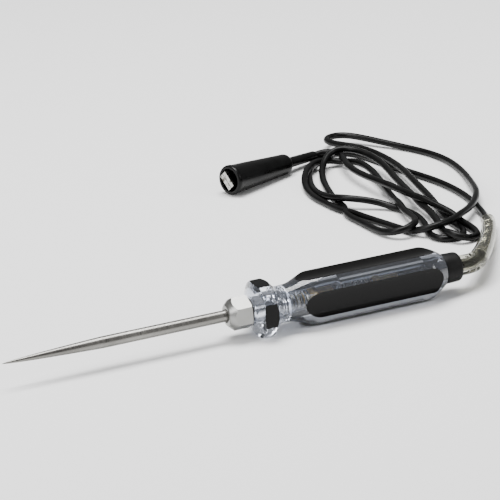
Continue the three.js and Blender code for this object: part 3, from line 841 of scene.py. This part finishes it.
def nut_bore():
    """A countersunk hole for the probe, widening to take the probe's head."""
    return turned("bore", [
        (NUT_FRONT - 1, 0), (NUT_FRONT - 1, PROBE_BORE + COUNTERSINK),
        (NUT_FRONT + COUNTERSINK_DEPTH, PROBE_BORE),
        (PROBE_BORE_REAR, PROBE_BORE), (PROBE_BORE_REAR, LAMP_BORE), (SHANK_REAR + 1, LAMP_BORE),
        (SHANK_REAR + 1, 0),
    ], 64)


def make_nut():
    nut = nut_head()
    combined(nut, nut_shank(), "UNION")
    combined(nut, nut_bore(), "DIFFERENCE")
    moved(nut, ON_TOOL)
    add(nut, "BEVEL", width=NUT_EDGE * MM, segments=2, limit_method="ANGLE",
        angle_limit=math.radians(38))
    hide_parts("nose_nut")
    return dressed(nut, None, "nut", 38)


# ---------------------------------------------------------------- handle
def handle_body():
    """The handle before its flutes and bore: mouth, collar rim, neck and grip."""
    profile = rounds([
        (HANDLE_FRONT, 0), (HANDLE_FRONT, MOUTH_RADIUS), (RIM_FRONT, RIM_RADIUS), (RIM_REAR, RIM_RADIUS),
        (NECK_FRONT, NECK_RADIUS + 0.2), (NECK_MIDDLE, NECK_RADIUS), (NECK_REAR, NECK_RADIUS + 0.1),
        (GRIP_FRONT, HANDLE_RADIUS), (GRIP_REAR, HANDLE_RADIUS), (HANDLE_REAR, CAP_RADIUS + 0.7),
        (HANDLE_REAR, 0),
    ], {1: 0.4, 2: 0.35, 3: 0.35, 4: 1.4, 6: 2.4, 7: 2.2, 8: 1.6, 9: 0.5})
    return turned("clear_handle", profile, 128)


def flute_cutters(paint):
    """Four round-bottomed channels with scooped front ends, and the four flats of the collar."""
    rear = HANDLE_REAR + 5
    channel = [*arc(FLUTE_FRONT, 0, FLUTE_CUTTER, 180, 90, 14), (rear, FLUTE_CUTTER), (rear, 0)]
    lift = Matrix.Translation((0, 0, (FLUTE_FLOOR + FLUTE_CUTTER) * MM))
    half = COLLAR_FLAT_HALF_WIDTH
    cutters = []
    for i in range(4):
        turn = about_x(i * math.pi / 2)
        cutters.append(moved(turned("flute", channel, 128), turn @ lift))
        flat = box_piece(
            "flat", (COLLAR_FLAT_FRONT, -half, COLLAR_FLAT), (COLLAR_FLAT_REAR, half, COLLAR_FLAT + 4)
        )
        cutters.append(moved(flat, turn))
    for cutter in cutters:
        cutter.data.materials.append(paint)
    return joined(cutters)


def bore_cutter():
    """The stepped bore: a threaded mouth, the lamp's chamber, the lead's duct and the cap's seat."""
    thread = []
    x = THREAD_FRONT
    while x < THREAD_REAR:
        thread.append((x, CHAMBER_RADIUS - NECK_THREAD_CREST))
        thread.append((x + THREAD_PITCH / 2, CHAMBER_RADIUS + NECK_THREAD_ROOT))
        x += THREAD_PITCH
    return turned("bore", [
        (HANDLE_FRONT - 1, 0), (HANDLE_FRONT - 1, CHAMBER_RADIUS), (MOUTH_REAR, CHAMBER_RADIUS), *thread,
        (CHAMBER_FRONT, CHAMBER_RADIUS), (CHAMBER_REAR, CHAMBER_RADIUS), (CHAMBER_REAR + 1, DUCT_RADIUS),
        (CAP_SEAT, DUCT_RADIUS), (CAP_SEAT, CHAMBER_RADIUS), (HANDLE_REAR + 1, CHAMBER_RADIUS),
        (HANDLE_REAR + 1, 0),
    ], 64)


def make_handle():
    paint = gloss_black_paint()
    handle = handle_body()
    handle.data.materials.append(clear_acrylic())
    combined(handle, bore_cutter(), "DIFFERENCE")
    combined(handle, flute_cutters(paint), "DIFFERENCE")
    moved(handle, ON_TOOL)
    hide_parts("handle_shell")
    return dressed(handle, None, "handle", 30)


def make_cap():
    spigot = CHAMBER_RADIUS - 0.3
    bore = LEAD_RADIUS + 0.3
    front = CAP_SEAT + 0.3
    shoulder = HANDLE_REAR + 0.15
    profile = rounds([
        (front, bore), (front, spigot), (shoulder, spigot), (shoulder, CAP_RADIUS + 0.1),
        (CAP_REAR, CAP_RADIUS - 0.1), (CAP_REAR, bore),
    ], {3: 0.35, 4: 1.7})
    cap = moved(turned("rear_cap", profile, 96, close=True), ON_TOOL)
    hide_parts("end_cap")
    return dressed(cap, matte_black_plastic())


# ---------------------------------------------------------------- strain relief and lead
def along_route(line, x):
    """Point, direction and two sides of a route at a distance along it."""
    along = lengths_along(line)
    point = np.array([np.interp(x, along, line[:, k]) for k in range(3)])
    ahead = np.array([np.interp(x + 0.5, along, line[:, k]) for k in range(3)])
    behind = np.array([np.interp(x - 0.5, along, line[:, k]) for k in range(3)])
    direction = (ahead - behind) / np.linalg.norm(ahead - behind)
    side = np.cross((0, 0, 1), direction)
    side /= np.linalg.norm(side)
    return point, direction, side, np.cross(direction, side)


def bent_ring(name, line, profile):
    """A turned tube bent so that its axis follows a route. The profile goes once round the wall."""
    tube = turned(name, profile, RELIEF_SIDES, close=True)
    for vertex in tube.data.vertices:
        x, y, z = (value / MM for value in vertex.co)
        point, _, side, up = along_route(line, x)
        vertex.co = Vector(point + side * y + up * z) * MM
    return facing_out(tube)


def relief_radius(x, length):
    """Outside radius of the strain relief at a distance along it."""
    return RELIEF_ROOT_RADIUS + (RELIEF_TIP_RADIUS - RELIEF_ROOT_RADIUS) * (x / length) ** 0.8


def relief_bore(x, length):
    """Inside radius: narrow at the root, then widening to a thin wall over the coil."""
    widening = min(max((x - RELIEF_ROOT_LENGTH) / RELIEF_WIDENING, 0), 1)
    thin = relief_radius(x, length) - RELIEF_WALL
    return RELIEF_ROOT_BORE + (thin - RELIEF_ROOT_BORE) * widening


def make_relief(line):
    length = lengths_along(line)[-1]
    front = 0.2
    lip = length - RELIEF_TRIM
    outside = [(float(x), relief_radius(x, length)) for x in np.linspace(front, lip - 2.2, 56)]
    rim = [
        (lip - 1.6, RELIEF_TIP_RADIUS + 0.12), (lip - 0.8, RELIEF_TIP_RADIUS + 0.1),
        (lip - 0.25, RELIEF_TIP_RADIUS), (lip, RELIEF_TIP_RADIUS - 0.2),
        (lip, RELIEF_TIP_RADIUS - RELIEF_WALL),
    ]
    inside = [(float(x), relief_bore(x, length)) for x in np.linspace(lip - 1, front, 56)]
    tube = bent_ring("relief_tube", line, [*outside, *rim, *inside])
    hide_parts("relief_sleeve")
    return dressed(tube, smoky_vinyl(), angle=50)


def make_relief_coil(line):
    length = lengths_along(line)[-1]
    start = RELIEF_COIL_FRONT
    end = length - RELIEF_TRIM - RELIEF_COIL_END_GAP
    steps = int((end - start) / RELIEF_COIL_PITCH * STEPS_PER_TURN)
    points = []
    for i in range(steps + 1):
        x = start + (end - start) * i / steps
        point, _, side, up = along_route(line, x)
        angle = 2 * math.pi * i / STEPS_PER_TURN
        offset = side * math.cos(angle) + up * math.sin(angle)
        radius = relief_bore(x, length) - RELIEF_COIL_WIRE - RELIEF_COIL_CLEARANCE
        points.append(tuple(point + radius * offset))
    coil = facing_out(apply_stack(wire("relief_coil", points, RELIEF_COIL_WIRE, 8)), merge=1e-6)
    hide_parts("relief_spring")
    # The coil's wire is paler than the other springs' wire: painted light, brightening a coil that little
    # light reaches inside the sleeve.
    finish = drawn_wire("relief_wire", (0.85, 0.84, 0.79))
    return dressed(coil, finish, angle=60)


def make_lead():
    lead = wire("lead", lead_line(), LEAD_RADIUS, 20)
    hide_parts("lead_front", "lead_loops", "lead_in_boot")
    return dressed(lead, black_vinyl("lead_skin", 0.34))


# ---------------------------------------------------------------- boot
def make_boot():
    """A rolled lip, a long taper to a shoulder, and a tail close round the lead."""
    outside = [
        (0, 5.5), (0, 6.6), (0.9, 7.1), (2.2, 6.95), (3.2, 6.75), (12, 6.3), (24, 5.6), (33, 5.1),
        (37.6, 4.85), (38.9, 4.2), (39.3, 2.75), (41, 2.5), (50, 2.4), (57.6, 2.3), (BOOT_LENGTH, 2.0),
    ]
    inside = [
        (BOOT_LENGTH, BOOT_TAIL_BORE), (37.5, BOOT_TAIL_BORE), (36.5, 3.4), (24, 5.6 - BOOT_WALL),
        (12, 6.3 - BOOT_WALL), (2, 5.4),
    ]
    profile = rounds([*outside, *inside], {1: 0.45, 2: 0.7, 8: 0.9, 9: 0.6, 10: 0.5})
    boot = moved(turned("vinyl_boot", profile, 96, close=True), ON_BOOT)
    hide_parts("clip_boot")
    return dressed(boot, black_vinyl("boot_skin", 0.3), angle=40)


# ---------------------------------------------------------------- carried-over pieces
def finish_cad_nodes():
    """The small metal, glass and rubber pieces keep their CAD shapes."""
    nickel = bright_nickel()
    wire_steel = drawn_wire()
    brass = aged_brass()
    lead_inside = black_vinyl("lead_inside")
    finishes = {
        "nose_gasket": black_rubber(),
        "bulb_glass": lamp_glass(),
        "bulb_base": brass,
        "bulb_insulator": dark_insulator(),
        "bulb_contact": soldered(),
        "front_contact_spring": wire_steel,
        "lamp_spring": wire_steel,
        "lead_terminal": brass,
        "lead_in_handle": lead_inside,
        "lead_crimp": nickel,
        "clip_upper_jaw": nickel,
        "clip_lower_jaw": nickel,
        "clip_pivot_pin": nickel,
        "clip_spring": wire_steel,
    }
    for name, finish in finishes.items():
        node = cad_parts[name]
        if node.material_slots:
            for material_slot in node.material_slots:
                material_slot.material = finish
        else:
            node.data.materials.append(finish)


# ---------------------------------------------------------------- making it all
make_camera()
relief_line = smooth_line(RELIEF_ROUTE, 1.0)
relief_tube = make_relief(relief_line)
relief_coil = make_relief_coil(relief_line)
lead = make_lead()
boot = make_boot()
make_floor()
make_light()
make_probe()
make_nut()
make_handle()
make_cap()
finish_cad_nodes()
